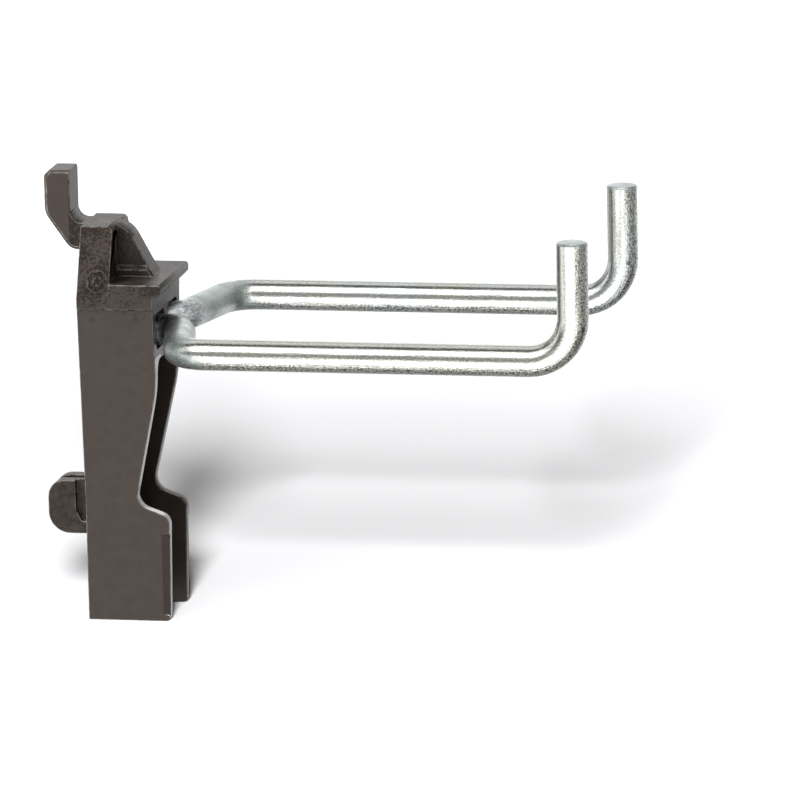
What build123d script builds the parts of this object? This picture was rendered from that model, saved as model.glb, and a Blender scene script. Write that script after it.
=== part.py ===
from build123d import *
import os

os.makedirs("parts", exist_ok=True)

# A clip-on double hook for a pegboard with square holes: a moulded plastic clip that hangs in
# two holes, and one bent steel wire whose two arms stick out and turn up at their tips.
# Millimetres. X runs out from the board, Y across it and Z up. The origin is on the board face,
# on the symmetry plane, level with the wire.

# The board, and the clearance of the lower peg in its hole
hole_pitch = 38.0
peg_lift = 0.7

# Wire
wire_diameter = 4.0
loop_radius = 4.0            # centreline of the loop inside the head; the legs leave it side by side
leg_bend_radius = (3.3, 2.9)      # near side (-Y), then far side: the two were not bent quite alike
leg_bend_depth = (12.7, 11.1)     # board face to the corner where a leg turns outwards
crossbar_rake = (0.19, 0.24)      # how far a crossbar leans away from the board per mm outwards
arm_spacing = 38.0           # between the two arms' centrelines
arm_bend_radius = 4.5
tip_depth = 66.25            # board face to the centreline of the upturned tips
tip_bend_radius = 5.7
tip_height = 15.3            # wire centreline to the sheared end of a tip
tip_edge = 0.3

# Walls and levels of the plastic body
wall = 1.6
web = 2.0                    # rear wall, flat on the board
foot_level = -38.0
bend_level = -23.05          # below this the two walls run parallel
flare_level = 3.25           # from here up the head is at its full width
plate_level = 6.5            # top face of the head
foot_width = 12.0
neck_width = 16.1            # where the flared walls meet the head
head_width = 16.4

# Front edge of the walls, seen from the side
foot_depth = 10.7
shoulder_depth = 10.95
shoulder_level = -24.3
shoulder_radius = 1.5
waist_depth = 6.55
waist_level = -22.65
waist_radius = 1.9
neck_level = -7.2
neck_radius = 26.0
head_depth = 9.95
foot_corner = 0.7
grip_bevel_run = 0.85
grip_bevel_bite = 0.35
grip_bevel_end = 0.8

# Lip along the front of the head
lip_depth = 11.2
lip_height = 1.25
lip_drop = 1.9               # top face to the foot of the lip's chamfer
lip_corner = 0.45

# Channel between the walls, and the two windows that the wire leaves through
channel_roof = -3.75
channel_corner = 1.5
seat_clearance = 0.05
loop_backing = 0.2           # between the rear wall's front face and the back of the loop
window_clearance = 0.3
window_sink = 1.6
window_corner = 0.9
boss_width = 1.8             # web of plastic between the two windows

# Post, hook and gusset above the head
post_depth = 4.2
post_height = 13.35          # also the level of the hook's saddle
post_top_width = 9.0
post_corner = 0.7
flank_foot = 4.55            # the post's flanks start here, a little below the top of the head
panel_sink = 0.3
panel_border = 0.8
hook_width = 5.0
hook_reach = 5.2             # board face to the back of the hook's upturned arm
hook_arm = 3.42              # thickness of the upturned arm
hook_height = 20.25
hook_seat = 9.85             # underside that rests on the edge of the upper hole
hook_crotch_radius = 1.5
hook_heel_rise = 4.7
hook_heel_run = 3.3
hook_heel_radius = 1.8
hook_back_radius = 3.0
hook_top_chamfer = 0.8
hook_edge_chamfer = 0.35
hook_back_share = 0.65       # edges further back than this share of the arm are bevelled
gusset_width = 3.9
gusset_reach = 5.2           # where the gusset's sloping front would meet the level of the post's top
gusset_foot = 8.85
gusset_radius = 3.6
ledge_height = 1.3
ledge_width = 0.55
ledge_bevel = 0.45
ledge_setback = 0.15         # the ledge stops short of the gusset's sloping front

# Peg that springs into the lower hole
peg_reach = 5.75
peg_height = 7.0
peg_width = 5.2
peg_top_radius = 2.2
peg_foot_radius = 2.8
peg_neck_length = 2.1
peg_neck_sink = 0.8
peg_neck_shoulder = 3.2      # foot of the peg to where the neck's recess starts to narrow
peg_neck_rise = 0.9          # foot of the peg to the lower tip of that recess
peg_neck_radius = 0.5
slit_width = 1.6
slit_roof = -17.0            # the slit splits the rear wall and the peg from here down

wire_radius = wire_diameter / 2
gusset_half = gusset_width / 2
saddle = post_height
heel_depth = hook_heel_run - hook_reach
plate_foot = plate_level - lip_drop
peg_foot = hook_seat - hole_pitch + peg_lift
peg_roof = peg_foot + peg_height
loop_depth = web + loop_backing + wire_radius + loop_radius
arm_offset = arm_spacing / 2
gusset_slope = (post_height - plate_level) / (gusset_foot - gusset_reach)
window_width = loop_radius + wire_radius + window_clearance - boss_width / 2
grip_bevel_length = shoulder_level - shoulder_radius - foot_level - 2 * grip_bevel_end
cutter = 3 * head_width


def half_route(side, bend_radius, bend_depth, rake):
    """One half of the wire's centreline, from the loop to a tip; side is -1 near, 1 far."""
    crossbar_end = bend_depth + rake * (arm_offset - loop_radius)
    loop_start = Vector(loop_depth - loop_radius, 0, 0)
    leg_start = Vector(loop_depth, side * loop_radius, 0)
    loop_middle = Vector(loop_depth, 0, 0) + Vector(-loop_radius, side * loop_radius, 0) / 2**0.5
    return [
        ThreePointArc(loop_start, loop_middle, leg_start),
        FilletPolyline(
            leg_start,
            (bend_depth, side * loop_radius, 0),
            (crossbar_end, side * arm_offset, 0),
            (tip_depth, side * arm_offset, 0),
            (tip_depth, side * arm_offset, tip_height),
            radius=(bend_radius, arm_bend_radius, tip_bend_radius),
        ),
    ]


with BuildLine() as route:
    for side, *bend in zip((-1, 1), leg_bend_radius, leg_bend_depth, crossbar_rake):
        add(half_route(side, *bend))
centreline = route.wire()

def side_corner(sketch, depth, level):
    """The corner of a side-view sketch that lies at this depth and level."""
    return sketch.vertices().sort_by_distance((depth, level, 0))[0]


def is_hook_back(edge):
    """True for the edges along the back and the top of the hook's upturned arm."""
    return edge.center().X < -hook_reach + hook_back_share * hook_arm


# Front view of the post, with its sloping flanks
with BuildSketch() as post_front:
    with BuildLine():
        Polyline(
            (0, flank_foot),
            (head_width / 2, flank_foot),
            (post_top_width / 2, post_height),
            (0, post_height),
        )
        mirror(about=Plane.YZ)
    make_face()

with BuildPart() as double_hook:
    with BuildSketch(Plane(centreline @ 0, z_dir=centreline % 0)):
        Circle(wire_radius)
    sweep(path=centreline)
    tip_rims = double_hook.edges().filter_by(GeomType.CIRCLE).group_by(Axis.Z)[-1]
    chamfer(tip_rims, tip_edge)

with BuildPart() as clip_body:
    # Side view of the body without its lip: parallel foot, waist, flared wall and head
    with BuildSketch(Plane.XZ) as side_view:
        with BuildLine():
            FilletPolyline(
                (0, foot_level),
                (foot_depth, foot_level),
                (shoulder_depth, shoulder_level),
                (waist_depth, waist_level),
                (head_depth, neck_level),
                (head_depth, plate_level),
                radius=(foot_corner, shoulder_radius, waist_radius, neck_radius),
            )
            Polyline((head_depth, plate_level), (0, plate_level), (0, foot_level))
        make_face()
    extrude(amount=head_width, both=True)

    # Front view: the two walls run parallel, flare up to the head and step out to its full width
    with BuildSketch(Plane.YZ) as front_view:
        with BuildLine():
            Polyline(
                (0, foot_level),
                (foot_width / 2, foot_level),
                (foot_width / 2, bend_level),
                (neck_width / 2, flare_level),
                (head_width / 2, flare_level),
                (head_width / 2, plate_level),
                (0, plate_level),
            )
            mirror(about=Plane.YZ)
        make_face()
    extrude(amount=cutter, mode=Mode.INTERSECT)

    # Lip along the front edge of the head
    with BuildSketch(Plane.XZ) as lip_profile:
        with BuildLine():
            Polyline(
                (head_depth - wall, plate_level),
                (lip_depth, plate_level),
                (lip_depth, plate_level - lip_height),
                (head_depth, plate_foot),
                (head_depth - wall, plate_foot),
                close=True,
            )
        make_face()
        fillet(lip_profile.vertices().group_by(Axis.X)[-1], lip_corner)
    extrude(amount=head_width / 2, both=True)

    # Open channel between the walls, arched under the head
    with BuildSketch(Plane.YZ.offset(web)) as channel_view:
        with BuildLine():
            Polyline(
                (0, foot_level),
                (foot_width / 2 - wall, foot_level),
                (foot_width / 2 - wall, bend_level),
                (neck_width / 2 - wall, flare_level),
                (0, flare_level),
            )
            mirror(about=Plane.YZ)
        make_face()
        with Locations((0, channel_roof)):
            Rectangle(cutter, cutter, align=(Align.CENTER, Align.MIN), mode=Mode.SUBTRACT)
        fillet(channel_view.vertices().group_by(Axis.Y)[-1], channel_corner)
    extrude(amount=cutter, mode=Mode.SUBTRACT)

    # Post above the rear of the head, with sloping flanks that cut into the head's top corners
    with BuildSketch(Plane.YZ) as head_corners:
        with Locations((0, flank_foot)):
            Rectangle(cutter, plate_level - flank_foot, align=(Align.CENTER, Align.MIN))
        add(post_front.sketch, mode=Mode.SUBTRACT)
    extrude(amount=post_depth, mode=Mode.SUBTRACT)
    with BuildSketch(Plane.YZ) as post_view:
        add(post_front.sketch)
    extrude(amount=post_depth)
    post_brow = clip_body.edges().filter_by(Axis.Y).group_by(Axis.Z)[-1].sort_by(Axis.X)[-1]
    fillet(post_brow, post_corner)

    # Hook: it runs through the middle of the post and turns up behind the board
    with BuildSketch(Plane.XZ) as hook_view:
        with BuildLine():
            Polyline(
                (post_depth / 2, hook_seat),
                (heel_depth, hook_seat),
                (-hook_reach, hook_seat + hook_heel_rise),
                (-hook_reach, hook_height),
                (-hook_reach + hook_arm, hook_height),
                (-hook_reach + hook_arm, saddle),
                (post_depth / 2, saddle),
                close=True,
            )
        make_face()
        fillet(side_corner(hook_view, heel_depth, hook_seat), hook_heel_radius)
        fillet(side_corner(hook_view, -hook_reach, hook_seat + hook_heel_rise), hook_back_radius)
        fillet(side_corner(hook_view, -hook_reach + hook_arm, saddle), hook_crotch_radius)
        chamfer(side_corner(hook_view, -hook_reach, hook_height), hook_top_chamfer)
    extrude(amount=hook_width / 2, both=True)

    # Bevel round the back and the top of the hook's arm
    hook_sides = clip_body.faces().filter_by(Axis.Y).group_by(Axis.X)[0]
    chamfer(hook_sides.edges().filter_by(is_hook_back), hook_edge_chamfer)

    # Gusset: a thinner rib that props the post on the head
    with BuildSketch(Plane.XZ) as gusset_view:
        with BuildLine():
            Polyline(
                (post_depth / 2, saddle),
                (gusset_reach, saddle),
                (gusset_foot, plate_level),
                (post_depth / 2, plate_level),
                close=True,
            )
        make_face()
        fillet(side_corner(gusset_view, gusset_reach, saddle), gusset_radius)
    extrude(amount=gusset_half, both=True)

    # Ledges along both sides of the gusset's foot
    with BuildSketch(Plane.XZ) as ledge_view:
        with BuildLine():
            Polyline(
                (post_depth / 2, plate_level),
                (gusset_foot - ledge_setback, plate_level),
                (gusset_foot - ledge_setback - ledge_height / gusset_slope, plate_level + ledge_height),
                (post_depth / 2, plate_level + ledge_height),
                close=True,
            )
        make_face()
    extrude(amount=gusset_half + ledge_width, both=True)
    ledge_tops = clip_body.edges(Select.LAST).filter_by(Axis.X).group_by(Axis.Z)[-1]
    chamfer(ledge_tops.group_by(Axis.Y)[0] + ledge_tops.group_by(Axis.Y)[-1], ledge_bevel)

    # Shallow panel in the post's front face, either side of the gusset
    with BuildSketch(Plane.YZ.offset(post_depth)) as panel_view:
        add(post_front.sketch)
        offset(amount=-panel_border, mode=Mode.REPLACE)
        with Locations((0, plate_level)):
            Rectangle(cutter, cutter, align=(Align.CENTER, Align.MAX), mode=Mode.SUBTRACT)
        Rectangle(gusset_width, cutter, mode=Mode.SUBTRACT)
    extrude(amount=-panel_sink, mode=Mode.SUBTRACT)

    # Seat of the wire, and a window round each leg in the front face of the head
    with BuildSketch(Plane(centreline @ 0, z_dir=centreline % 0)):
        Circle(wire_radius + seat_clearance)
    sweep(path=centreline, mode=Mode.SUBTRACT)
    with BuildSketch(Plane.YZ.offset(head_depth)) as window_view:
        with Locations((boss_width / 2, 0)):
            RectangleRounded(
                window_width,
                wire_diameter + 2 * window_clearance,
                window_corner,
                align=(Align.MIN, Align.CENTER),
            )
        mirror(about=Plane.YZ)
    extrude(amount=-window_sink, mode=Mode.SUBTRACT)

    # Peg for the lower hole: round in side view, with a recessed neck against the body
    with BuildSketch(Plane.XZ) as peg_view:
        with Locations((0, peg_foot)):
            Rectangle(2 * peg_reach, peg_height, align=(Align.CENTER, Align.MIN))
        fillet(side_corner(peg_view, -peg_reach, peg_foot), peg_foot_radius)
        fillet(side_corner(peg_view, -peg_reach, peg_roof), peg_top_radius)
        with Locations((web / 2, peg_foot)):
            Rectangle(cutter, cutter, align=(Align.MIN, Align.CENTER), mode=Mode.SUBTRACT)
    extrude(amount=peg_width / 2, both=True)
    with BuildSketch(Plane.XZ.offset(peg_width / 2)) as neck_view:
        with BuildLine():
            Polyline(
                (0, peg_roof),
                (-peg_neck_length, peg_roof),
                (-peg_neck_length, peg_foot + peg_neck_shoulder),
                (-peg_neck_length / 2, peg_foot + peg_neck_rise),
                (0, peg_foot + peg_neck_shoulder),
                close=True,
            )
        make_face()
        fillet(side_corner(neck_view, -peg_neck_length, peg_foot + peg_neck_shoulder), peg_neck_radius)
        fillet(side_corner(neck_view, -peg_neck_length / 2, peg_foot + peg_neck_rise), peg_neck_radius)
    peg_neck = extrude(amount=-peg_neck_sink, mode=Mode.SUBTRACT)
    mirror(peg_neck, about=Plane.XZ, mode=Mode.SUBTRACT)

    # Slit that lets the two walls and the two halves of the peg spring together
    with BuildSketch(Plane.XZ) as slit_view:
        with Locations((0, slit_roof)):
            Rectangle(cutter, cutter, align=(Align.CENTER, Align.MAX))
    extrude(amount=slit_width / 2, both=True, mode=Mode.SUBTRACT)

    # Long grip bevel on the outer front edge of each wall's foot
    with BuildSketch(Plane.XY.offset(foot_level + grip_bevel_end)) as bevel_view:
        with BuildLine():
            Polyline(
                (foot_depth - grip_bevel_run, foot_width / 2),
                (foot_depth + grip_bevel_run, foot_width / 2 - 2 * grip_bevel_bite),
                (foot_depth + grip_bevel_run, foot_width / 2),
                close=True,
            )
        make_face()
        mirror(about=Plane.XZ)
    extrude(amount=grip_bevel_length, mode=Mode.SUBTRACT)

clip_body.part.label = "clip_body"
double_hook.part.label = "double_hook"
export_step(clip_body.part, "parts/clip_body.step")
export_step(double_hook.part, "parts/double_hook.step")
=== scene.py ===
import logging
import math
from dataclasses import dataclass, field
from enum import Enum

import bmesh
import bpy
from mathutils import Matrix, Vector


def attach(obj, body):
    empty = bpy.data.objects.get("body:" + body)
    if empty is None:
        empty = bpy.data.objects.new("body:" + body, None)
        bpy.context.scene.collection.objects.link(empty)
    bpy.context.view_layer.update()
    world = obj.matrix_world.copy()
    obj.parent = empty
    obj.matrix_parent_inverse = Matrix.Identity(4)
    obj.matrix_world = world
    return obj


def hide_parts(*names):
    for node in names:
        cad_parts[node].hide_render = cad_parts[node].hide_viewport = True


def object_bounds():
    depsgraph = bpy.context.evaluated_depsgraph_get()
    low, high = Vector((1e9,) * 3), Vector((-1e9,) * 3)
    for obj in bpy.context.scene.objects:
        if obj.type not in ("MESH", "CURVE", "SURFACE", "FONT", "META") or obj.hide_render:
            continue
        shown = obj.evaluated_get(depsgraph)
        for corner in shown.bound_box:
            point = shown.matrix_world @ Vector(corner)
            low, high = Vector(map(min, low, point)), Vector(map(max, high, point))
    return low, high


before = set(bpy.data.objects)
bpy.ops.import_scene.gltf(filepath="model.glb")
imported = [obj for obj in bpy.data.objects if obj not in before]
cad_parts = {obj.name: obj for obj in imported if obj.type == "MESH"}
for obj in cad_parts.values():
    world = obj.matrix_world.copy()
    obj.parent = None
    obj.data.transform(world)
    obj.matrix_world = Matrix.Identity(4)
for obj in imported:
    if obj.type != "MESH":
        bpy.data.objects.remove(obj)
CAD_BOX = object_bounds()

LOG = logging.getLogger("double_hook")
MM = 0.001
BODY = "root"

Socket = bpy.types.NodeSocket
Value = Socket | float
Colour = tuple[float, float, float, float]
Span = tuple[float, float]

# How bright the studio looks in a mirror, by the angle in degrees round the X axis:
# 0 is level in front of the object, 90 straight up and 180 level behind it
PANELS = [
    (-180, 1.2),
    (-156, 1.2),
    (-146, 0.6),
    (-112, 0.36),
    (-66, 0.40),
    (-55, 1.2),
    (-20, 1.9),
    (-2, 1.2),
    (6, 0.36),
    (31, 0.36),
    (38, 2.0),
    (70, 2.0),
    (79, 0.25),
    (96, 0.10),
    (108, 0.8),
    (125, 0.85),
    (145, 0.5),
    (156, 1.15),
    (180, 1.2),
]
# The same from side to side, -1 being the board's side of the object and 1 the tips' side
SIDE_PANELS = [
    (-1.0, 0.6),
    (-0.80, 0.62),
    (-0.76, 0.25),
    (-0.70, 0.35),
    (-0.62, 1.0),
    (0.2, 1.0),
    (0.4, 0.75),
    (0.65, 0.55),
    (0.9, 0.4),
    (1.0, 0.4),
]
# The brightest value that a ramp of panels may hold
PANEL_TOP = 2.0


class Side(Enum):
    """The two halves of the wire, by the sign of their Y."""

    NEAR = -1
    FAR = 1


class Slot(Enum):
    """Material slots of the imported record."""

    PLASTIC = "dark_plastic"
    ZINC = "zinc_plated_steel"


class Reach(Enum):
    """What a lamp lights, as the floor's state in its list of receivers."""

    FLOOR = "INCLUDE"
    OBJECT = "EXCLUDE"
    ALL = ""


class Kind(Enum):
    """What a mixed or stored value is."""

    NUMBER = "FLOAT"
    COLOUR = "RGBA"
    PLACE = "FLOAT_VECTOR"


def mm(*values: float) -> Vector:
    """A point given in millimetres, as a vector in metres."""
    return Vector(values) * MM


def grey(level: float) -> Colour:
    """A plain grey of one level."""
    return (level, level, level, 1.0)


def add_object(name: str, mesh: bpy.types.Mesh) -> bpy.types.Object:
    """Link a mesh to the scene as a new object at the origin.

    Args:
        name: the piece's name.
        mesh: its mesh, already in place.

    Returns:
        The new object.
    """
    made = bpy.data.objects.new(name, mesh)
    bpy.context.scene.collection.objects.link(made)
    return made


def evaluated_mesh(source: bpy.types.Object) -> bpy.types.Mesh:
    """Turn an object and its modifiers into a plain mesh.

    Args:
        source: the object, with its modifiers live.

    Returns:
        A new mesh that holds the result.
    """
    bpy.context.view_layer.update()
    graph = bpy.context.evaluated_depsgraph_get()
    return bpy.data.meshes.new_from_object(source.evaluated_get(graph), depsgraph=graph)


class NodeBench:
    """Adds nodes to one tree and links them, so that a recipe reads top to bottom."""

    def __init__(self, tree: bpy.types.NodeTree) -> None:
        """Keep the tree that the nodes go into."""
        self.tree = tree

    def add(self, kind: str, inputs: dict | None = None, **settings: object) -> bpy.types.Node:
        """Add one node, set its options and fill its inputs.

        Args:
            kind: the node's type name.
            inputs: socket name or number to a value, or to another node's output socket.
            settings: options of the node itself, such as its operation.

        Returns:
            The new node.
        """
        node = self.tree.nodes.new(kind)
        for name, value in settings.items():
            setattr(node, name, value)
        for key, value in (inputs or {}).items():
            if isinstance(value, Socket):
                self.tree.links.new(value, node.inputs[key])
            else:
                node.inputs[key].default_value = value
        return node

    def math(self, operation: str, first: Value, second: Value = 0.0, third: Value = 0.0) -> Socket:
        """Add a maths node.

        Args:
            operation: the maths operation.
            first: a number or a socket.
            second: a number or a socket.
            third: a number or a socket.

        Returns:
            Its result.
        """
        inputs = {0: first, 1: second, 2: third}
        return self.add("ShaderNodeMath", inputs, operation=operation).outputs[0]

    def mix(self, factor: Value, first: Value, second: Value, kind: Kind = Kind.NUMBER) -> Socket:
        """Mix two numbers or two colours.

        Args:
            factor: 0 for the first, 1 for the second.
            first: a number, a colour or a socket.
            second: a number, a colour or a socket.
            kind: what they are.

        Returns:
            The mixed value.
        """
        inputs = {"Factor": factor, "A": first, "B": second}
        return self.add("ShaderNodeMix", inputs, data_type=kind.value).outputs["Result"]

    def split(self, vector: Socket) -> bpy.types.NodeOutputs:
        """Take a vector apart into its X, Y and Z."""
        return self.add("ShaderNodeSeparateXYZ", {0: vector}).outputs

    def store(self, geometry: Socket, name: str, value: Socket, kind: Kind) -> Socket:
        """Keep a value on the points of a geometry.

        Args:
            geometry: the geometry.
            name: the name that the value is kept under.
            value: the value.
            kind: what it is.

        Returns:
            The geometry with the value.
        """
        inputs = {"Geometry": geometry, "Name": name, "Value": value}
        options = {"data_type": kind.value, "domain": "POINT"}
        return self.add("GeometryNodeStoreNamedAttribute", inputs, **options).outputs[0]

    def stored(self, name: str, kind: Kind) -> Socket:
        """Read a value that was kept under a name."""
        inputs = {"Name": name}
        return self.add("GeometryNodeInputNamedAttribute", inputs, data_type=kind.value).outputs[0]


class EffectGroup:
    """A shader node group with named sockets, shared by the finishes."""

    def __init__(self, name: str, inputs: dict[str, tuple], outputs: tuple[str, ...]) -> None:
        """Make the group and its sockets.

        Args:
            name: the group's name.
            inputs: socket name to its type and default value.
            outputs: names of the numbers that it puts out.
        """
        self.tree = bpy.data.node_groups.new(name, "ShaderNodeTree")
        face = self.tree.interface
        for label, (kind, value) in inputs.items():
            socket = face.new_socket(label, in_out="INPUT", socket_type=kind)
            if value is not None:
                socket.default_value = value
        for label in outputs:
            face.new_socket(label, in_out="OUTPUT", socket_type="NodeSocketFloat")
        self.bench = NodeBench(self.tree)
        self.source = self.tree.nodes.new("NodeGroupInput").outputs
        self.result = self.tree.nodes.new("NodeGroupOutput").inputs

    def give(self, label: str, socket: Socket) -> None:
        """Link a socket to one of the group's outputs."""
        self.tree.links.new(socket, self.result[label])


def grain_group() -> bpy.types.NodeTree:
    """Build the surface grain that both finishes use.

    Returns:
        A group that turns a place into a fine height, a broad height and a tone, each 0 to 1.
    """
    inputs = {
        "Place": ("NodeSocketVector", None),
        "Fine Scale": ("NodeSocketFloat", 4000.0),
        "Broad Scale": ("NodeSocketFloat", 500.0),
    }
    group = EffectGroup("surface_grain", inputs, ("Fine", "Broad", "Tone"))
    noises = {
        "Fine": {"Scale": group.source["Fine Scale"], "Detail": 4.0, "Roughness": 0.6},
        "Broad": {"Scale": group.source["Broad Scale"], "Detail": 3.0},
    }
    made = {}
    for label, settings in noises.items():
        settings["Vector"] = group.source["Place"]
        made[label] = group.bench.add("ShaderNodeTexNoise", settings).outputs["Fac"]
        group.give(label, made[label])
    fine_share = 0.35
    group.give("Tone", group.bench.mix(fine_share, made["Broad"], made["Fine"]))
    return group.tree


@dataclass(frozen=True)
class Finish:
    """Base of the finishes: a material with one Principled shader and the shared grain."""

    grain: bpy.types.NodeTree

    def start(self, name: str) -> tuple[bpy.types.Material, NodeBench, bpy.types.Node]:
        """Make an empty material.

        Args:
            name: the material's name.

        Returns:
            The material, a bench on its tree, and its Principled shader.
        """
        material = bpy.data.materials.new(name)
        material.use_nodes = True
        return material, NodeBench(material.node_tree), material.node_tree.nodes["Principled BSDF"]

    def grained(self, bench: NodeBench, place: Socket, scales: Span) -> bpy.types.NodeOutputs:
        """Place the grain group.

        Args:
            bench: the bench of the material's tree.
            place: where the grain is looked up.
            scales: the fine and the broad scale, in cells a metre.

        Returns:
            The group's outputs.
        """
        group = bench.add("ShaderNodeGroup", node_tree=self.grain)
        bench.tree.links.new(place, group.inputs["Place"])
        group.inputs["Fine Scale"].default_value, group.inputs["Broad Scale"].default_value = scales
        return group.outputs

    def spread(self, bench: NodeBench, value: Socket, band: Span, result: Span = (0.0, 1.0)) -> Socket:
        """Stretch a band of values over a new range, and hold what lies outside it.

        Args:
            bench: the bench of the material's tree.
            value: the socket to stretch.
            band: the values that give the start and the end of the range.
            result: the new range.

        Returns:
            The stretched socket.
        """
        inputs = dict(zip(("From Min", "From Max", "To Min", "To Max"), (*band, *result)))
        return bench.add("ShaderNodeMapRange", {"Value": value, **inputs}).outputs[0]

    def drift(self, bench: NodeBench, value: Socket, noise: Socket, most: float) -> Socket:
        """Move a value up and down by a noise.

        Args:
            bench: the bench of the material's tree.
            value: the value to move.
            noise: a noise from 0 to 1.
            most: how far the value moves at the noise's ends.

        Returns:
            The moved value.
        """
        return bench.math("ADD", value, bench.math("MULTIPLY_ADD", noise, 2.0 * most, -most))

    def all_of(self, bench: NodeBench, *masks: Socket) -> Socket:
        """Keep only what lies in every mask.

        Args:
            bench: the bench of the material's tree.
            masks: the masks, two or more.

        Returns:
            Their product.
        """
        common = masks[0]
        for mask in masks[1:]:
            common = bench.math("MULTIPLY", common, mask)
        return common

    def distance(self, bench: NodeBench, place: Socket, spot: tuple) -> Socket:
        """Measure how far each place is from a spot."""
        ends = {0: place, 1: spot}
        return bench.add("ShaderNodeVectorMath", ends, operation="DISTANCE").outputs["Value"]

    def relief(self, bench: NodeBench, layers: tuple) -> Socket:
        """Lay bumps over one another.

        Args:
            bench: the bench of the material's tree.
            layers: the height, the depth in metres and the strength of each, from the lowest.

        Returns:
            The normal of them all.
        """
        under = {}
        for height, depth, strength in layers:
            inputs = {"Height": height, "Distance": depth, "Strength": strength, **under}
            under["Normal"] = bench.add("ShaderNodeBump", inputs).outputs["Normal"]
        return under["Normal"]


@dataclass(frozen=True)
class MouldedPlastic(Finish):
    """Brown-black moulded plastic: smooth walls, a coarser head, and the mark of the gate."""

    edge_name: str
    dark: Colour = (0.040, 0.030, 0.026, 1.0)
    light: Colour = (0.052, 0.041, 0.036, 1.0)
    pit: Colour = (0.012, 0.008, 0.006, 1.0)
    coarse_light: Colour = (0.043, 0.033, 0.029, 1.0)
    gate_light: Colour = (0.085, 0.072, 0.066, 1.0)
    # Paler colour of the rounded edges: wear, and a painted highlight along them
    wear_and_highlight: Colour = (0.20, 0.185, 0.17, 1.0)
    # Near-white colour of a highlight painted on the near wall's front rim
    painted_rim_highlight: Colour = (0.80, 0.79, 0.77, 1.0)
    sheen_tint: Colour = (1.0, 0.95, 0.88, 1.0)
    specular: float = 0.28
    roughness: Span = (0.30, 0.42)
    skin_scales: Span = (5200.0, 700.0)
    coarse_scales: Span = (3000.0, 1100.0)
    patch_scales: Span = (2200.0, 330.0)
    tone_band: Span = (0.3, 0.7)
    fine_depth: float = 0.012 * MM
    coarse_depth: float = 0.05 * MM
    coarse_levels: Span = (2.0 * MM, 4.6 * MM)
    coarse_border: float = 4.0 * MM
    coarse_rear: Span = (-2.1 * MM, -1.9 * MM)
    patch_band: Span = (0.35, 0.65)
    speck_limits: Span = (0.36, 0.58)
    speck_band: Span = (-0.05, 0.07)
    post_levels: Span = (7.0 * MM, 11.0 * MM)
    post_limits: Span = (0.0, 0.07)
    # Bounds and blotches of the painted shade on the peg
    peg_top: float = -14.0 * MM
    peg_front: float = -0.05 * MM
    peg_band: Span = (0.62, 0.38)
    peg_shares: Span = (0.25, 1.0)
    gate_place: tuple = (2.63 * MM, 0.0, 6.74 * MM)
    gate_reach: Span = (2.1 * MM, 1.155 * MM)
    gate_ring: float = 0.8 * MM
    gate_break: float = 3.0
    gate_waver: float = 2.6
    gate_band: Span = (0.8, 1.6)
    gate_depth: float = 0.15 * MM
    wear_highlight_band: Span = (0.36, 0.60)
    # Bounds of the painted highlight on the near wall's front rim
    rim_top: float = -3.2 * MM
    rim_inner: float = -4.0 * MM
    rim_depth: float = 5.5 * MM
    rim_sideways: Span = (0.45, 0.25)
    rim_outward: Span = (0.35, 0.6)

    def upper_part(self, bench: NodeBench, place: bpy.types.NodeOutputs, noise: Socket) -> Socket:
        """Mask the coarser part above the walls, without the hook behind the board.

        Args:
            bench: the bench of the material's tree.
            place: the object coordinates, apart.
            noise: a noise that makes the border uneven.

        Returns:
            The mask, 1 on the coarser part.
        """
        level = self.drift(bench, place["Z"], noise, self.coarse_border)
        above = self.spread(bench, level, self.coarse_levels)
        return self.all_of(bench, above, self.spread(bench, place["X"], self.coarse_rear))

    def speckled(
        self, bench: NodeBench, place: bpy.types.NodeOutputs, fine: Socket, broad: Socket
    ) -> Socket:
        """Colour the coarser part: dark pits, which lie closer in patches and up the post.

        Args:
            bench: the bench of the material's tree.
            place: the object coordinates, apart.
            fine: the noise of the pits.
            broad: the noise of the patches.

        Returns:
            The colour.
        """
        patchy = self.spread(bench, broad, self.patch_band, self.speck_limits)
        higher = self.spread(bench, place["Z"], self.post_levels, self.post_limits)
        above = bench.math("SUBTRACT", fine, bench.math("ADD", patchy, higher))
        smooth = self.spread(bench, above, self.speck_band)
        return bench.mix(smooth, self.pit, self.coarse_light, Kind.COLOUR)

    def peg_painted_shade(self, bench: NodeBench, place: bpy.types.NodeOutputs, noise: Socket) -> Socket:
        """Mask the peg for painted shade, laid in dark blotches.

        Args:
            bench: the bench of the material's tree.
            place: the object coordinates, apart.
            noise: the noise of the blotches.

        Returns:
            The mask, 1 where the peg is darkest.
        """
        behind = bench.math("LESS_THAN", place["X"], self.peg_front)
        low = bench.math("LESS_THAN", place["Z"], self.peg_top)
        return self.all_of(bench, self.spread(bench, noise, self.peg_band, self.peg_shares), behind, low)

    def gate(self, bench: NodeBench, place: bpy.types.NodeOutputs, noise: Socket) -> tuple[Socket, Socket]:
        """Draw the rings that the injection gate left on the near flank.

        Args:
            bench: the bench of the material's tree.
            place: the object coordinates, apart.
            noise: a noise that breaks the rings up.

        Returns:
            The mask of the mark and the height of its rings.
        """
        ragged = bench.math("MULTIPLY", noise, self.gate_break)
        flat = bench.add("ShaderNodeCombineXYZ", {"X": place["X"], "Z": place["Z"]}).outputs[0]
        away = self.distance(bench, flat, self.gate_place)
        near = bench.math("LESS_THAN", place["Y"], 0.0)
        mark = self.all_of(bench, self.spread(bench, away, self.gate_reach), near)
        bent = bench.math("MULTIPLY", ragged, self.gate_waver)
        turn = bench.math("MULTIPLY_ADD", away, math.tau / self.gate_ring, bent)
        waves = bench.math("MULTIPLY_ADD", bench.math("SINE", turn), 0.5, 0.5)
        return mark, bench.math("MULTIPLY", waves, ragged)

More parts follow.
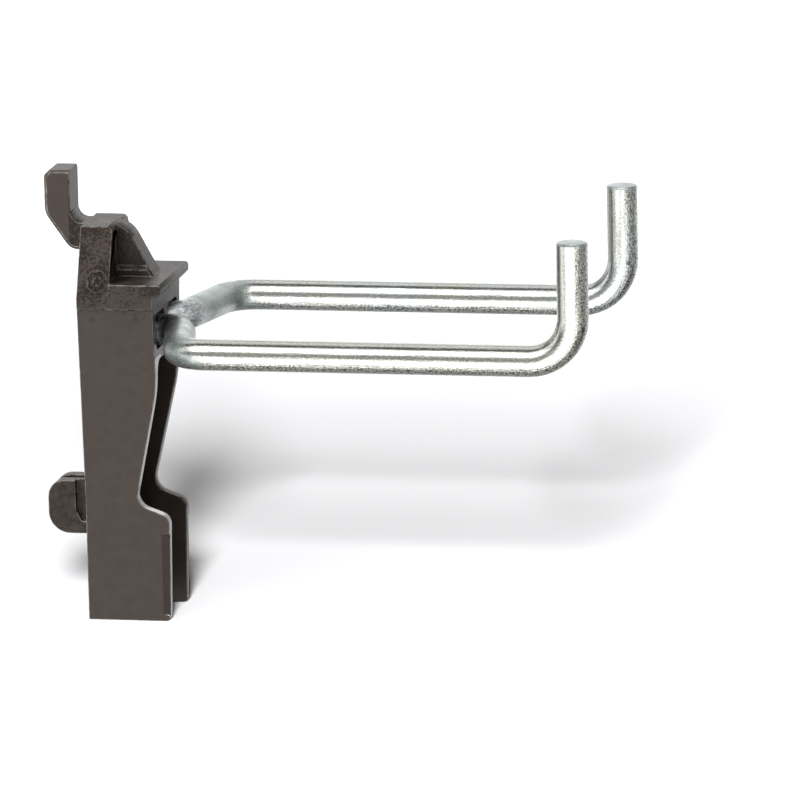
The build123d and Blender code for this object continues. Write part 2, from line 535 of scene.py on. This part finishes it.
    def worn_highlit_edges(self, bench: NodeBench, noise: Socket) -> Socket:
        """Mask the rounded edges, in broken stretches, for worn tone and a painted highlight.

        Args:
            bench: the bench of the material's tree.
            noise: a noise that leaves gaps.

        Returns:
            The mask, 1 where an edge is lightest.
        """
        edge = bench.add("ShaderNodeAttribute", attribute_name=self.edge_name).outputs["Fac"]
        return self.all_of(bench, edge, self.spread(bench, noise, self.wear_highlight_band))

    def near_rim_highlight_mask(self, bench: NodeBench, place: bpy.types.NodeOutputs) -> Socket:
        """Mask the front rim of the near wall, where a highlight is painted in near-white.

        Args:
            bench: the bench of the material's tree.
            place: the object coordinates, apart.

        Returns:
            The mask, 1 on the rim.
        """
        facing = bench.split(bench.add("ShaderNodeTexCoord").outputs["Normal"])
        outward = bench.math("MAXIMUM", facing["X"], facing["Z"])
        sideways = bench.math("ABSOLUTE", facing["Y"])
        return self.all_of(
            bench,
            self.spread(bench, sideways, self.rim_sideways),
            self.spread(bench, outward, self.rim_outward),
            bench.math("LESS_THAN", place["Z"], self.rim_top),
            bench.math("LESS_THAN", place["Y"], self.rim_inner),
            bench.math("GREATER_THAN", place["X"], self.rim_depth),
        )

    def material(self) -> bpy.types.Material:
        """Build the plastic.

        Returns:
            The material.
        """
        material, bench, shader = self.start("moulded_plastic")
        whole = bench.add("ShaderNodeTexCoord").outputs["Object"]
        place = bench.split(whole)
        skin = self.grained(bench, whole, self.skin_scales)
        coarse = self.grained(bench, whole, self.coarse_scales)
        patches = self.grained(bench, whole, self.patch_scales)
        upper = self.upper_part(bench, place, coarse["Broad"])
        mark, rings = self.gate(bench, place, patches["Fine"])
        layers = (
            (self.spread(bench, skin["Tone"], self.tone_band), self.light),
            (upper, self.speckled(bench, place, coarse["Fine"], patches["Broad"])),
            # The peg darkened in blotches with the pit colour: painted shade
            (self.peg_painted_shade(bench, place, coarse["Tone"]), self.pit),
            (self.all_of(bench, self.spread(bench, rings, self.gate_band), mark), self.gate_light),
            # The rounded edges paler in broken stretches: wear and a painted highlight
            (self.worn_highlit_edges(bench, coarse["Tone"]), self.wear_and_highlight),
            # A painted highlight along the near wall's front rim
            (self.near_rim_highlight_mask(bench, place), self.painted_rim_highlight),
        )
        colour = self.dark
        for mask, paint in layers:
            colour = bench.mix(mask, colour, paint, Kind.COLOUR)
        rough = self.spread(bench, skin["Fine"], self.tone_band, self.roughness)
        heights = (
            (self.all_of(bench, rings, mark), self.gate_depth, 1.0),
            (self.all_of(bench, coarse["Tone"], upper), self.coarse_depth, 1.0),
            (skin["Fine"], self.fine_depth, 1.0),
        )
        bench.tree.links.new(colour, shader.inputs["Base Color"])
        bench.tree.links.new(rough, shader.inputs["Roughness"])
        bench.tree.links.new(self.relief(bench, heights), shader.inputs["Normal"])
        shader.inputs["Specular IOR Level"].default_value = self.specular
        shader.inputs["Specular Tint"].default_value = self.sheen_tint
        return material


@dataclass(frozen=True)
class ZincPlate(Finish):
    """Bright zinc on drawn wire, dull and mottled at the bent start and on the sheared ends."""

    place_name: str
    end_height: float
    cool: Colour = (0.76, 0.80, 0.80, 1.0)
    warm: Colour = (0.80, 0.80, 0.72, 1.0)
    pit: Colour = (0.16, 0.16, 0.14, 1.0)
    dull: Colour = (0.38, 0.44, 0.42, 1.0)
    dull_light: Colour = (0.68, 0.73, 0.72, 1.0)
    # Painted dark reflection and shade on the near leg, painted highlight on the far leg, each from its
    # dark to its light blotch
    near_leg_dark_reflection: tuple[Colour, Colour] = ((0.10, 0.10, 0.08, 1.0), (0.50, 0.54, 0.52, 1.0))
    far_leg_highlight: tuple[Colour, Colour] = ((0.46, 0.52, 0.55, 1.0), (1.0, 1.0, 1.0, 1.0))
    bright_roughness: Span = (0.07, 0.17)
    dull_roughness: Span = (0.26, 0.44)
    roughness_band: Span = (0.35, 0.65)
    streak_scales: Span = (3200.0, 900.0)
    spot_scales: Span = (4700.0, 420.0)
    patch_scales: Span = (2300.0, 130.0)
    streak_stretch: float = 0.07
    spot_stretch: float = 0.9
    streak_depth: float = 0.02 * MM
    streak_strength: float = 0.8
    spot_depth: float = 0.07 * MM
    least_grain: float = 0.30
    pit_band: Span = (0.55, 0.40)
    mottle_band: Span = (0.38, 0.62)
    blotch_band: Span = (0.42, 0.58)
    cast_band: Span = (0.42, 0.66)
    near_cast: float = 0.8
    dull_depths: Span = (18.8 * MM, 15.6 * MM)
    dull_border: float = 4.8 * MM
    leg_reach: Span = (7.2 * MM, 5.2 * MM)
    outer_band: Span = (0.62, 0.9)
    outer_border: float = 0.8
    dent_reach: Span = (1.1 * MM, 0.935 * MM)
    dent_border: float = 1.32 * MM
    dents: tuple = (
        (67.8 * MM, -20.26 * MM, 4.4 * MM),
        (64.35 * MM, -19.5 * MM, 4.0 * MM),
        (67.4 * MM, 17.36 * MM, 5.5 * MM),
    )

    def drawn(self, bench: NodeBench, along: Socket, stretch: float) -> Socket:
        """Draw a pattern out along the wire."""
        inputs = {"Vector": along, "Scale": (1.0, 1.0, stretch)}
        return bench.add("ShaderNodeMapping", inputs).outputs[0]

    def dullness(self, bench: NodeBench, place: bpy.types.NodeOutputs, noise: Socket) -> Socket:
        """Mask the dull parts: the bent start of the wire and its two sheared ends.

        Args:
            bench: the bench of the material's tree.
            place: the object coordinates, apart.
            noise: a noise that makes the border ragged.

        Returns:
            The mask, 1 where the zinc is dull.
        """
        depth = self.drift(bench, place["X"], noise, self.dull_border)
        start = self.spread(bench, depth, self.dull_depths)
        return bench.math("MAXIMUM", start, bench.math("GREATER_THAN", place["Z"], self.end_height))

    def outer_side(self, bench: NodeBench, noise: Socket) -> Socket:
        """Mask the grainy outer side of the wire: below the arms and in front of the tips.

        Args:
            bench: the bench of the material's tree.
            noise: a noise that makes the border ragged.

        Returns:
            The mask, 1 on the outer side.
        """
        facing = bench.split(bench.add("ShaderNodeTexCoord").outputs["Normal"])
        outward = bench.math("MAXIMUM", facing["X"], bench.math("MULTIPLY", facing["Z"], -1.0))
        ragged = bench.math("MULTIPLY_ADD", noise, self.outer_border, outward)
        return self.spread(bench, ragged, self.outer_band)

    def bright_plate(self, bench: NodeBench, across: Socket, patchy: Socket, pitted: Socket) -> Socket:
        """Colour the bright zinc: a warmer near arm, warm patches elsewhere, and dark pits.

        Args:
            bench: the bench of the material's tree.
            across: the Y of the object coordinates.
            patchy: the noise of the warm patches.
            pitted: the mask of the pits.

        Returns:
            The colour.
        """
        near = bench.math("LESS_THAN", across, 0.0)
        cast = self.spread(bench, patchy, self.cast_band)
        warmth = bench.math("MAXIMUM", cast, bench.math("MULTIPLY", near, self.near_cast))
        plate = bench.mix(warmth, self.cool, self.warm, Kind.COLOUR)
        return bench.mix(pitted, plate, self.pit, Kind.COLOUR)

    def dented(self, bench: NodeBench, whole: Socket, plate: Socket, noise: Socket) -> Socket:
        """Draw the small ragged dents that the bending tool left beside the tips.

        Args:
            bench: the bench of the material's tree.
            whole: the object coordinates.
            plate: the colour around the dents.
            noise: a noise that breaks up their outline.

        Returns:
            The colour with the dents in it.
        """
        for spot in self.dents:
            away = self.distance(bench, whole, spot)
            ragged = bench.math("MULTIPLY_ADD", noise, self.dent_border, away)
            dent = self.spread(bench, ragged, self.dent_reach)
            plate = bench.mix(dent, plate, self.pit, Kind.COLOUR)
        return plate

    def dull_plate(self, bench: NodeBench, across: Socket, mottle: Socket, blotch: Socket) -> Socket:
        """Colour the dull zinc: even on the crossbars, blotched on the two legs in the windows, the near
        leg with a painted dark reflection and shade, the far leg with a painted highlight.

        Args:
            bench: the bench of the material's tree.
            across: the Y of the object coordinates.
            mottle: the noise of the even part, 0 to 1.
            blotch: the noise of the legs, 0 to 1.

        Returns:
            The colour.
        """
        even = bench.mix(mottle, self.dull, self.dull_light, Kind.COLOUR)
        near = bench.mix(blotch, *self.near_leg_dark_reflection, Kind.COLOUR)
        far = bench.mix(blotch, *self.far_leg_highlight, Kind.COLOUR)
        legs = bench.mix(bench.math("GREATER_THAN", across, 0.0), near, far, Kind.COLOUR)
        on_legs = self.spread(bench, bench.math("ABSOLUTE", across), self.leg_reach)
        return bench.mix(on_legs, even, legs, Kind.COLOUR)

    def material(self) -> bpy.types.Material:
        """Build the zinc.

        Returns:
            The material.
        """
        material, bench, shader = self.start("zinc_plate")
        whole = bench.add("ShaderNodeTexCoord").outputs["Object"]
        place = bench.split(whole)
        along = bench.add("ShaderNodeAttribute", attribute_name=self.place_name).outputs["Vector"]
        streaks = self.grained(
            bench, self.drawn(bench, along, self.streak_stretch), self.streak_scales
        )
        spots = self.grained(bench, self.drawn(bench, along, self.spot_stretch), self.spot_scales)
        patches = self.grained(bench, along, self.patch_scales)
        dull = self.dullness(bench, place, spots["Broad"])
        outer = bench.math("MAXIMUM", self.outer_side(bench, streaks["Fine"]), self.least_grain)
        pitted = self.all_of(bench, self.spread(bench, spots["Fine"], self.pit_band), outer)
        bright = self.bright_plate(bench, place["Y"], patches["Broad"], pitted)
        bright = self.dented(bench, whole, bright, patches["Fine"])
        mottle = self.spread(bench, spots["Tone"], self.mottle_band)
        blotch = self.spread(bench, patches["Fine"], self.blotch_band)
        # The dull zinc, with painted reflections on the two legs
        dulled = self.dull_plate(bench, place["Y"], mottle, blotch)
        smooth = self.spread(bench, streaks["Tone"], self.roughness_band, self.bright_roughness)
        rough = self.spread(bench, spots["Fine"], self.roughness_band, self.dull_roughness)
        heights = (
            (streaks["Fine"], self.streak_depth, self.streak_strength),
            (self.all_of(bench, spots["Fine"], outer), self.spot_depth, 1.0),
        )
        colour = bench.mix(dull, bright, dulled, Kind.COLOUR)
        bench.tree.links.new(colour, shader.inputs["Base Color"])
        bench.tree.links.new(bench.mix(dull, smooth, rough), shader.inputs["Roughness"])
        bench.tree.links.new(self.relief(bench, heights), shader.inputs["Normal"])
        shader.inputs["Metallic"].default_value = 1.0
        return material


@dataclass
class ClipBody:
    """The moulded clip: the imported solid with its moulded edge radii."""

    node: str = "clip_body"
    edge_radius: float = 0.12 * MM
    edge_steps: int = 2
    edge_slot: int = 1
    edge_name: str = "edge_band"
    sharp_angle: float = math.radians(28)
    merge_distance: float = 0.0005 * MM
    flat_angle: float = math.radians(0.6)

    def build(self) -> bpy.types.Object:
        """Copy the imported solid, join its loose triangles and round its edges.

        Returns:
            The dressed clip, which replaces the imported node.
        """
        work = bmesh.new()
        work.from_mesh(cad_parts[self.node].data)
        bmesh.ops.remove_doubles(work, verts=work.verts, dist=self.merge_distance)
        bmesh.ops.dissolve_limit(
            work, angle_limit=self.flat_angle, verts=work.verts, edges=work.edges
        )
        mesh = bpy.data.meshes.new("clip_body_skin")
        work.to_mesh(mesh)
        work.free()
        source = add_object("clip_work", mesh)
        bevel = source.modifiers.new("edge_radii", "BEVEL")
        bevel.width, bevel.segments = self.edge_radius, self.edge_steps
        bevel.limit_method, bevel.angle_limit = "ANGLE", self.sharp_angle
        bevel.use_clamp_overlap, bevel.harden_normals = False, True
        # The rounded faces go to an empty slot of their own, by which they are told apart
        bevel.material = self.edge_slot
        for _ in range(self.edge_slot + 1):
            mesh.materials.append(None)
        final = evaluated_mesh(source)
        bpy.data.objects.remove(source)
        final.name = "clip_body_skin"
        self.mark_edges(final)
        return add_object("clip_body_skin", final)

    def mark_edges(self, mesh: bpy.types.Mesh) -> None:
        """Keep which faces are rounded edges as an attribute, and put all in one slot.

        Args:
            mesh: the clip's mesh.
        """
        rounded = [face.material_index == self.edge_slot for face in mesh.polygons]
        band = mesh.attributes.new(self.edge_name, "FLOAT", "FACE")
        band.data.foreach_set("value", [float(is_edge) for is_edge in rounded])
        mesh.polygons.foreach_set("material_index", [0] * len(rounded))

    def dress(self, piece: bpy.types.Object, plastic: bpy.types.Material) -> None:
        """Give the clip its plastic, hide the imported node that it replaces, and attach it to the body.

        Args:
            piece: the dressed clip.
            plastic: its material.
        """
        piece.data.materials.clear()
        piece.data.materials.append(plastic)
        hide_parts(self.node)
        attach(piece, BODY)


@dataclass
class DoubleHook:
    """The bent wire, in millimetres: one length that loops in the head and runs out as two arms."""

    node: str = "double_hook"
    wire_radius: float = 2.0
    loop_radius: float = 4.0
    loop_back: float = 4.2
    arm_offset: float = 19.0
    arm_bend_radius: float = 4.5
    tip_depth: float = 66.25
    tip_bend_radius: float = 5.7
    tip_height: float = 15.3
    end_radius: float = 0.28
    leg_bend_radius: dict = field(default_factory=lambda: {Side.NEAR: 3.3, Side.FAR: 2.9})
    leg_bend_depth: dict = field(default_factory=lambda: {Side.NEAR: 12.7, Side.FAR: 11.1})
    crossbar_rake: dict = field(default_factory=lambda: {Side.NEAR: 0.19, Side.FAR: 0.24})
    ring_points: int = 56
    ring_step: float = 0.28
    arc_points: int = 24
    end_steps: int = 3
    end_profile: float = 0.5
    place_name: str = "wire_place"
    radius_name: str = "bend_radius"

    def half_route(self, side: Side) -> list[tuple[tuple, float]]:
        """The corners of one half of the wire, from the loop to the tip.

        Args:
            side: which half.

        Returns:
            Each corner in millimetres with its bend radius.
        """
        depth, across = self.leg_bend_depth[side], side.value
        arm_start = depth + self.crossbar_rake[side] * (self.arm_offset - self.loop_radius)
        y_leg, y_arm = across * self.loop_radius, across * self.arm_offset
        return [
            ((self.loop_back, y_leg, 0.0), self.loop_radius),
            ((depth, y_leg, 0.0), self.leg_bend_radius[side]),
            ((arm_start, y_arm, 0.0), self.arm_bend_radius),
            ((self.tip_depth, y_arm, 0.0), self.tip_bend_radius),
            ((self.tip_depth, y_arm, self.tip_height), 0.0),
        ]

    def route(self) -> bpy.types.Object:
        """Make the line of corners that the wire follows.

        Returns:
            An object whose mesh is that open line, with the bend radii as an attribute.
        """
        corners = self.half_route(Side.NEAR)[::-1] + self.half_route(Side.FAR)
        mesh = bpy.data.meshes.new("wire_route")
        edges = [(i, i + 1) for i in range(len(corners) - 1)]
        mesh.from_pydata([mm(*point) for point, _ in corners], edges, [])
        radii = mesh.attributes.new(self.radius_name, "FLOAT", "POINT")
        radii.data.foreach_set("value", [radius * MM for _, radius in corners])
        return add_object("wire_work", mesh)

    def sweep_face(self, tree: bpy.types.NodeTree) -> None:
        """Give the sweep's node tree its named sockets.

        Args:
            tree: the geometry node tree.
        """
        inputs = {
            "Geometry": "NodeSocketGeometry",
            "Wire Radius": "NodeSocketFloat",
            "Ring Step": "NodeSocketFloat",
            "Ring Points": "NodeSocketInt",
            "Arc Points": "NodeSocketInt",
            "Material": "NodeSocketMaterial",
        }
        for label, kind in inputs.items():
            tree.interface.new_socket(label, in_out="INPUT", socket_type=kind)
        tree.interface.new_socket("Geometry", in_out="OUTPUT", socket_type="NodeSocketGeometry")

    def sweep_tree(self) -> bpy.types.NodeTree:
        """Build the node tree that rounds the route's corners and sweeps the wire along it.

        Returns:
            The geometry node tree.
        """
        tree = bpy.data.node_groups.new("swept_wire", "GeometryNodeTree")
        self.sweep_face(tree)
        bench = NodeBench(tree)
        source = tree.nodes.new("NodeGroupInput").outputs
        line = bench.add("GeometryNodeMeshToCurve", {"Mesh": source["Geometry"]}).outputs[0]
        radius = bench.stored(self.radius_name, Kind.NUMBER)
        rounding = {"Curve": line, "Count": source["Arc Points"], "Radius": radius}
        bent = bench.add("GeometryNodeFilletCurve", rounding, mode="POLY").outputs[0]
        stepping = {"Curve": bent, "Length": source["Ring Step"]}
        even = bench.add("GeometryNodeResampleCurve", stepping, mode="LENGTH").outputs[0]
        length = bench.add("GeometryNodeSplineParameter").outputs["Length"]
        marked = bench.store(even, "along", length, Kind.NUMBER)
        circle = {"Resolution": source["Ring Points"], "Radius": source["Wire Radius"]}
        ring = bench.add("GeometryNodeCurvePrimitiveCircle", circle).outputs[0]
        spot = bench.add("GeometryNodeInputPosition").outputs[0]
        ring = bench.store(ring, "around", spot, Kind.PLACE)
        sweep = {"Curve": marked, "Profile Curve": ring, "Fill Caps": True}
        wire = bench.add("GeometryNodeCurveToMesh", sweep).outputs[0]
        # A place on the unbent wire: across it as X and Y, along it as Z
        around = bench.split(bench.stored("around", Kind.PLACE))
        along = bench.stored("along", Kind.NUMBER)
        straight = {"X": around["X"], "Y": around["Y"], "Z": along}
        place = bench.add("ShaderNodeCombineXYZ", straight).outputs[0]
        placed = bench.store(wire, self.place_name, place, Kind.PLACE)
        real = bench.add("GeometryNodeRealizeInstances", {"Geometry": placed}).outputs[0]
        coating = {"Geometry": real, "Material": source["Material"]}
        coated = bench.add("GeometryNodeSetMaterial", coating).outputs[0]
        tree.links.new(coated, tree.nodes.new("NodeGroupOutput").inputs["Geometry"])
        return tree

    def build(self, zinc: bpy.types.Material) -> bpy.types.Object:
        """Sweep the wire and round its sheared ends.

        Args:
            zinc: the wire's material.

        Returns:
            The dressed wire.
        """
        source = self.route()
        modifier = source.modifiers.new("sweep", "NODES")
        tree = self.sweep_tree()
        modifier.node_group = tree
        values = {
            "Wire Radius": self.wire_radius * MM,
            "Ring Step": self.ring_step * MM,
            "Ring Points": self.ring_points,
            "Arc Points": self.arc_points,
            "Material": zinc,
        }
        for item in tree.interface.items_tree:
            if item.in_out == "INPUT" and item.name in values:
                modifier[item.identifier] = values[item.name]
        mesh = evaluated_mesh(source)
        bpy.data.objects.remove(source)
        mesh.name = "double_hook_wire"
        self.round_ends(mesh)
        return add_object("double_hook_wire", mesh)

    def round_ends(self, mesh: bpy.types.Mesh) -> None:
        """Round the rims of the two sheared ends, and smooth the wire between them.

        Args:
            mesh: the swept wire, whose ends are its only faces that aren't quads.
        """
        work = bmesh.new()
        work.from_mesh(mesh)
        for face in work.faces:
            face.smooth = len(face.verts) == 4
        rims = [edge for face in work.faces if not face.smooth for edge in face.edges]
        bmesh.ops.bevel(
            work,
            geom=rims,
            offset=self.end_radius * MM,
            segments=self.end_steps,
            profile=self.end_profile,
            affect="EDGES",
        )
        work.to_mesh(mesh)
        work.free()

    def end_height(self) -> float:
        """The level in metres above which only the sheared ends lie."""
        return (self.tip_height - self.end_radius) * MM

    def dress(self, piece: bpy.types.Object) -> None:
        """Hide the imported node that the wire replaces, and attach the wire to the body that it rides on.

        Args:
            piece: the dressed wire.
        """
        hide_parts(self.node)
        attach(piece, BODY)


@dataclass(frozen=True)
class Lamp:
    """A soft lamp that shines at the object: its place, width and height in metres, and power."""

    name: str
    place: Vector
    size: Span
    power: float
    reach: Reach

    def hang(self, aim: Vector, floor: bpy.types.Object) -> None:
        """Add the lamp to the scene.

        Args:
            aim: the point that it shines at.
            floor: the floor, which it lights alone, with the rest or not at all.
        """
        data = bpy.data.lights.new(self.name, "AREA")
        data.shape, data.size, data.size_y = "ELLIPSE", *self.size
        data.energy = self.power
        holder = bpy.data.objects.new(self.name, data)
        bpy.context.scene.collection.objects.link(holder)
        holder.location = self.place
        holder.rotation_euler = (aim - self.place).to_track_quat("-Z", "Y").to_euler()
        holder.visible_glossy = False
        if self.reach is not Reach.ALL:
            group = bpy.data.collections.new(f"{self.name}_lights")
            group.objects.link(floor)
            group.collection_objects[0].light_linking.link_state = self.reach.value
            holder.light_linking.receiver_collection = group


@dataclass
class Studio:
    """White floor, white surroundings, soft lamps and the camera."""

    floor_level: float = CAD_BOX[0].z
    floor_half: float = 2.5
    floor_colour: Colour = (0.9, 0.9, 0.915, 1.0)
    floor_bounce: float = 0.45
    floor_glow: float = 0.35
    glow_reach: Span = (0.12, 0.3)
    azimuth: float = math.radians(11.15)
    elevation: float = math.radians(12.25)
    roll: float = math.radians(-1.2)
    distance: float = 1.1
    aim: Vector = field(default_factory=lambda: mm(40.27, 0.0, -9.52))
    lens: float = 386.7
    sensor: float = 36.0
    sight: Span = (0.01, 50.0)
    fill_level: float = 0.02
    fill_horizon: float = 0.25
    fill_power: float = 2.0
    lamps: tuple = (
        Lamp("shadow_strip", Vector((2.37, -17.8, 8.57)), (3.6, 5.2), 8150.0, Reach.FLOOR),
        Lamp("front_lamp", Vector((-0.1, -0.8, 0.85)), (1.1, 0.7), 5.2, Reach.ALL),
        Lamp("key_lamp", Vector((-0.76, -0.64, 0.66)), (0.36, 0.36), 22.0, Reach.OBJECT),
    )

    def camera(self) -> None:
        """Set the camera at the photograph's viewing angle."""
        data = bpy.data.cameras.new("camera")
        data.lens, data.sensor_width = self.lens, self.sensor
        data.clip_start, data.clip_end = self.sight
        holder = bpy.data.objects.new("camera", data)
        bpy.context.scene.collection.objects.link(holder)
        level = math.cos(self.elevation)
        sideways, forwards = math.sin(self.azimuth) * level, math.cos(self.azimuth) * level
        back = Vector((sideways, -forwards, math.sin(self.elevation)))
        turn = (-back).to_track_quat("-Z", "Y").to_matrix().to_4x4()
        spin = Matrix.Rotation(self.roll, 4, "Z")
        holder.matrix_world = Matrix.Translation(self.aim + back * self.distance) @ turn @ spin
        bpy.context.scene.camera = holder

    def floor_white(self) -> bpy.types.Material:
        """Make the floor's white: pale for the camera, where it also glows far from the object.

        Returns:
            The material, which throws less light back on the object than it shows.
        """
        material = bpy.data.materials.new("floor_white")
        material.use_nodes = True
        bench = NodeBench(material.node_tree)
        shader = material.node_tree.nodes["Principled BSDF"].inputs
        shader["Roughness"].default_value = 1.0
        shader["Specular IOR Level"].default_value = 0.0
        shader["Emission Color"].default_value = grey(1.0)
        seen = bench.add("ShaderNodeLightPath").outputs["Is Camera Ray"]
        colour = bench.mix(seen, grey(self.floor_bounce), self.floor_colour, Kind.COLOUR)
        bench.tree.links.new(colour, shader["Base Color"])
        place = bench.add("ShaderNodeTexCoord").outputs["Object"]
        reach = bench.add("ShaderNodeVectorMath", {0: place}, operation="LENGTH").outputs["Value"]
        start, end = self.glow_reach
        rise = {"Value": reach, "From Min": start, "From Max": end, "To Max": self.floor_glow}
        glow = bench.add("ShaderNodeMapRange", rise, interpolation_type="SMOOTHSTEP").outputs[0]
        bench.tree.links.new(bench.math("MULTIPLY", seen, glow), shader["Emission Strength"])
        return material

    def floor(self) -> bpy.types.Object:
        """Lay the white floor at the level of the clip's foot.

        Returns:
            The floor.
        """
        half, level = self.floor_half, self.floor_level
        corners = [(-half, -half), (half, -half), (half, half), (-half, half)]
        mesh = bpy.data.meshes.new("floor")
        mesh.from_pydata([(x, y, level) for x, y in corners], [], [(0, 1, 2, 3)])
        floor = add_object("floor", mesh)
        floor.data.materials.append(self.floor_white())
        floor.visible_glossy = False
        return floor

    def ramp(self, bench: NodeBench, place: Socket, stops: list[Span]) -> Socket:
        """Turn a 0 to 1 place into a brightness.

        Args:
            bench: the bench of the world's tree.
            place: the place along the ramp.
            stops: pairs of place and brightness, in order.

        Returns:
            The brightness.
        """
        node = bench.add("ShaderNodeFloatCurve", {"Value": place})
        points = node.mapping.curves[0].points
        ends = len(points)
        for index, (where, value) in enumerate(stops):
            if index < ends:
                points[index].location = (where, value)
            else:
                points.new(where, value)
        for point in points:
            point.handle_type = "AUTO_CLAMPED"
        node.mapping.update()
        return node.outputs[0]

    def mirrored(self, bench: NodeBench, way: bpy.types.NodeOutputs) -> Socket:
        """Light what mirrors: panels by their height, less bright towards the sides.

        Args:
            bench: the bench of the world's tree.
            way: the direction, apart.

        Returns:
            The brightness.
        """
        front = bench.math("MULTIPLY", way["Y"], -1.0)
        height = bench.math("ARCTAN2", way["Z"], front)
        turn = bench.math("MULTIPLY_ADD", height, 1 / math.tau, 0.5)
        rise = self.ramp(bench, turn, [(at / 360 + 0.5, value / PANEL_TOP) for at, value in PANELS])
        across = bench.math("MULTIPLY_ADD", way["X"], 0.5, 0.5)
        sides = self.ramp(bench, across, [(at / 2 + 0.5, value) for at, value in SIDE_PANELS])
        return bench.math("MULTIPLY", bench.math("MULTIPLY", rise, PANEL_TOP), sides)

    def fill(self, bench: NodeBench, way: bpy.types.NodeOutputs) -> Socket:
        """Light what is dull: most from the horizon and below, and from the board's side.

        Args:
            bench: the bench of the world's tree.
            way: the direction, apart.

        Returns:
            The brightness.
        """
        low = bench.math("POWER", bench.math("SUBTRACT", 1.0, way["Z"]), self.fill_power)
        level = bench.math("MULTIPLY_ADD", low, self.fill_horizon, self.fill_level)
        return bench.math("MULTIPLY", level, bench.math("SUBTRACT", 1.0, way["X"]))

    def surroundings(self) -> None:
        """White for the camera, soft panels for what mirrors, and a plain fill for the rest."""
        world = bpy.data.worlds.new("studio")
        bpy.context.scene.world = world
        world.use_nodes = True
        bench = NodeBench(world.node_tree)
        background = world.node_tree.nodes["Background"].inputs
        way = bench.split(bench.add("ShaderNodeTexCoord").outputs["Generated"])
        paths = bench.add("ShaderNodeLightPath").outputs
        shown = bench.mix(paths["Is Glossy Ray"], self.fill(bench, way), self.mirrored(bench, way))
        strength = bench.mix(paths["Is Camera Ray"], shown, 1.0)
        background["Color"].default_value = grey(1.0)
        bench.tree.links.new(strength, background["Strength"])

    def build(self) -> None:
        """Set up the whole studio."""
        self.camera()
        self.surroundings()
        floor = self.floor()
        for lamp in self.lamps:
            lamp.hang(self.aim, floor)
        bpy.context.scene.view_settings.view_transform = "Standard"


def main() -> None:
    """Build every piece in order and report it."""
    logging.basicConfig(level=logging.INFO, format="%(name)s: %(message)s")
    grain = grain_group()
    hook = DoubleHook()
    zinc = ZincPlate(grain, hook.place_name, hook.end_height())
    wire = hook.build(zinc.material())
    hook.dress(wire)
    LOG.info("%s: %d faces", wire.name, len(wire.data.polygons))
    body = ClipBody()
    clip = body.build()
    body.dress(clip, MouldedPlastic(grain, body.edge_name).material())
    LOG.info("%s: %d faces", clip.name, len(clip.data.polygons))
    Studio().build()


if __name__ == "__main__":
    main()
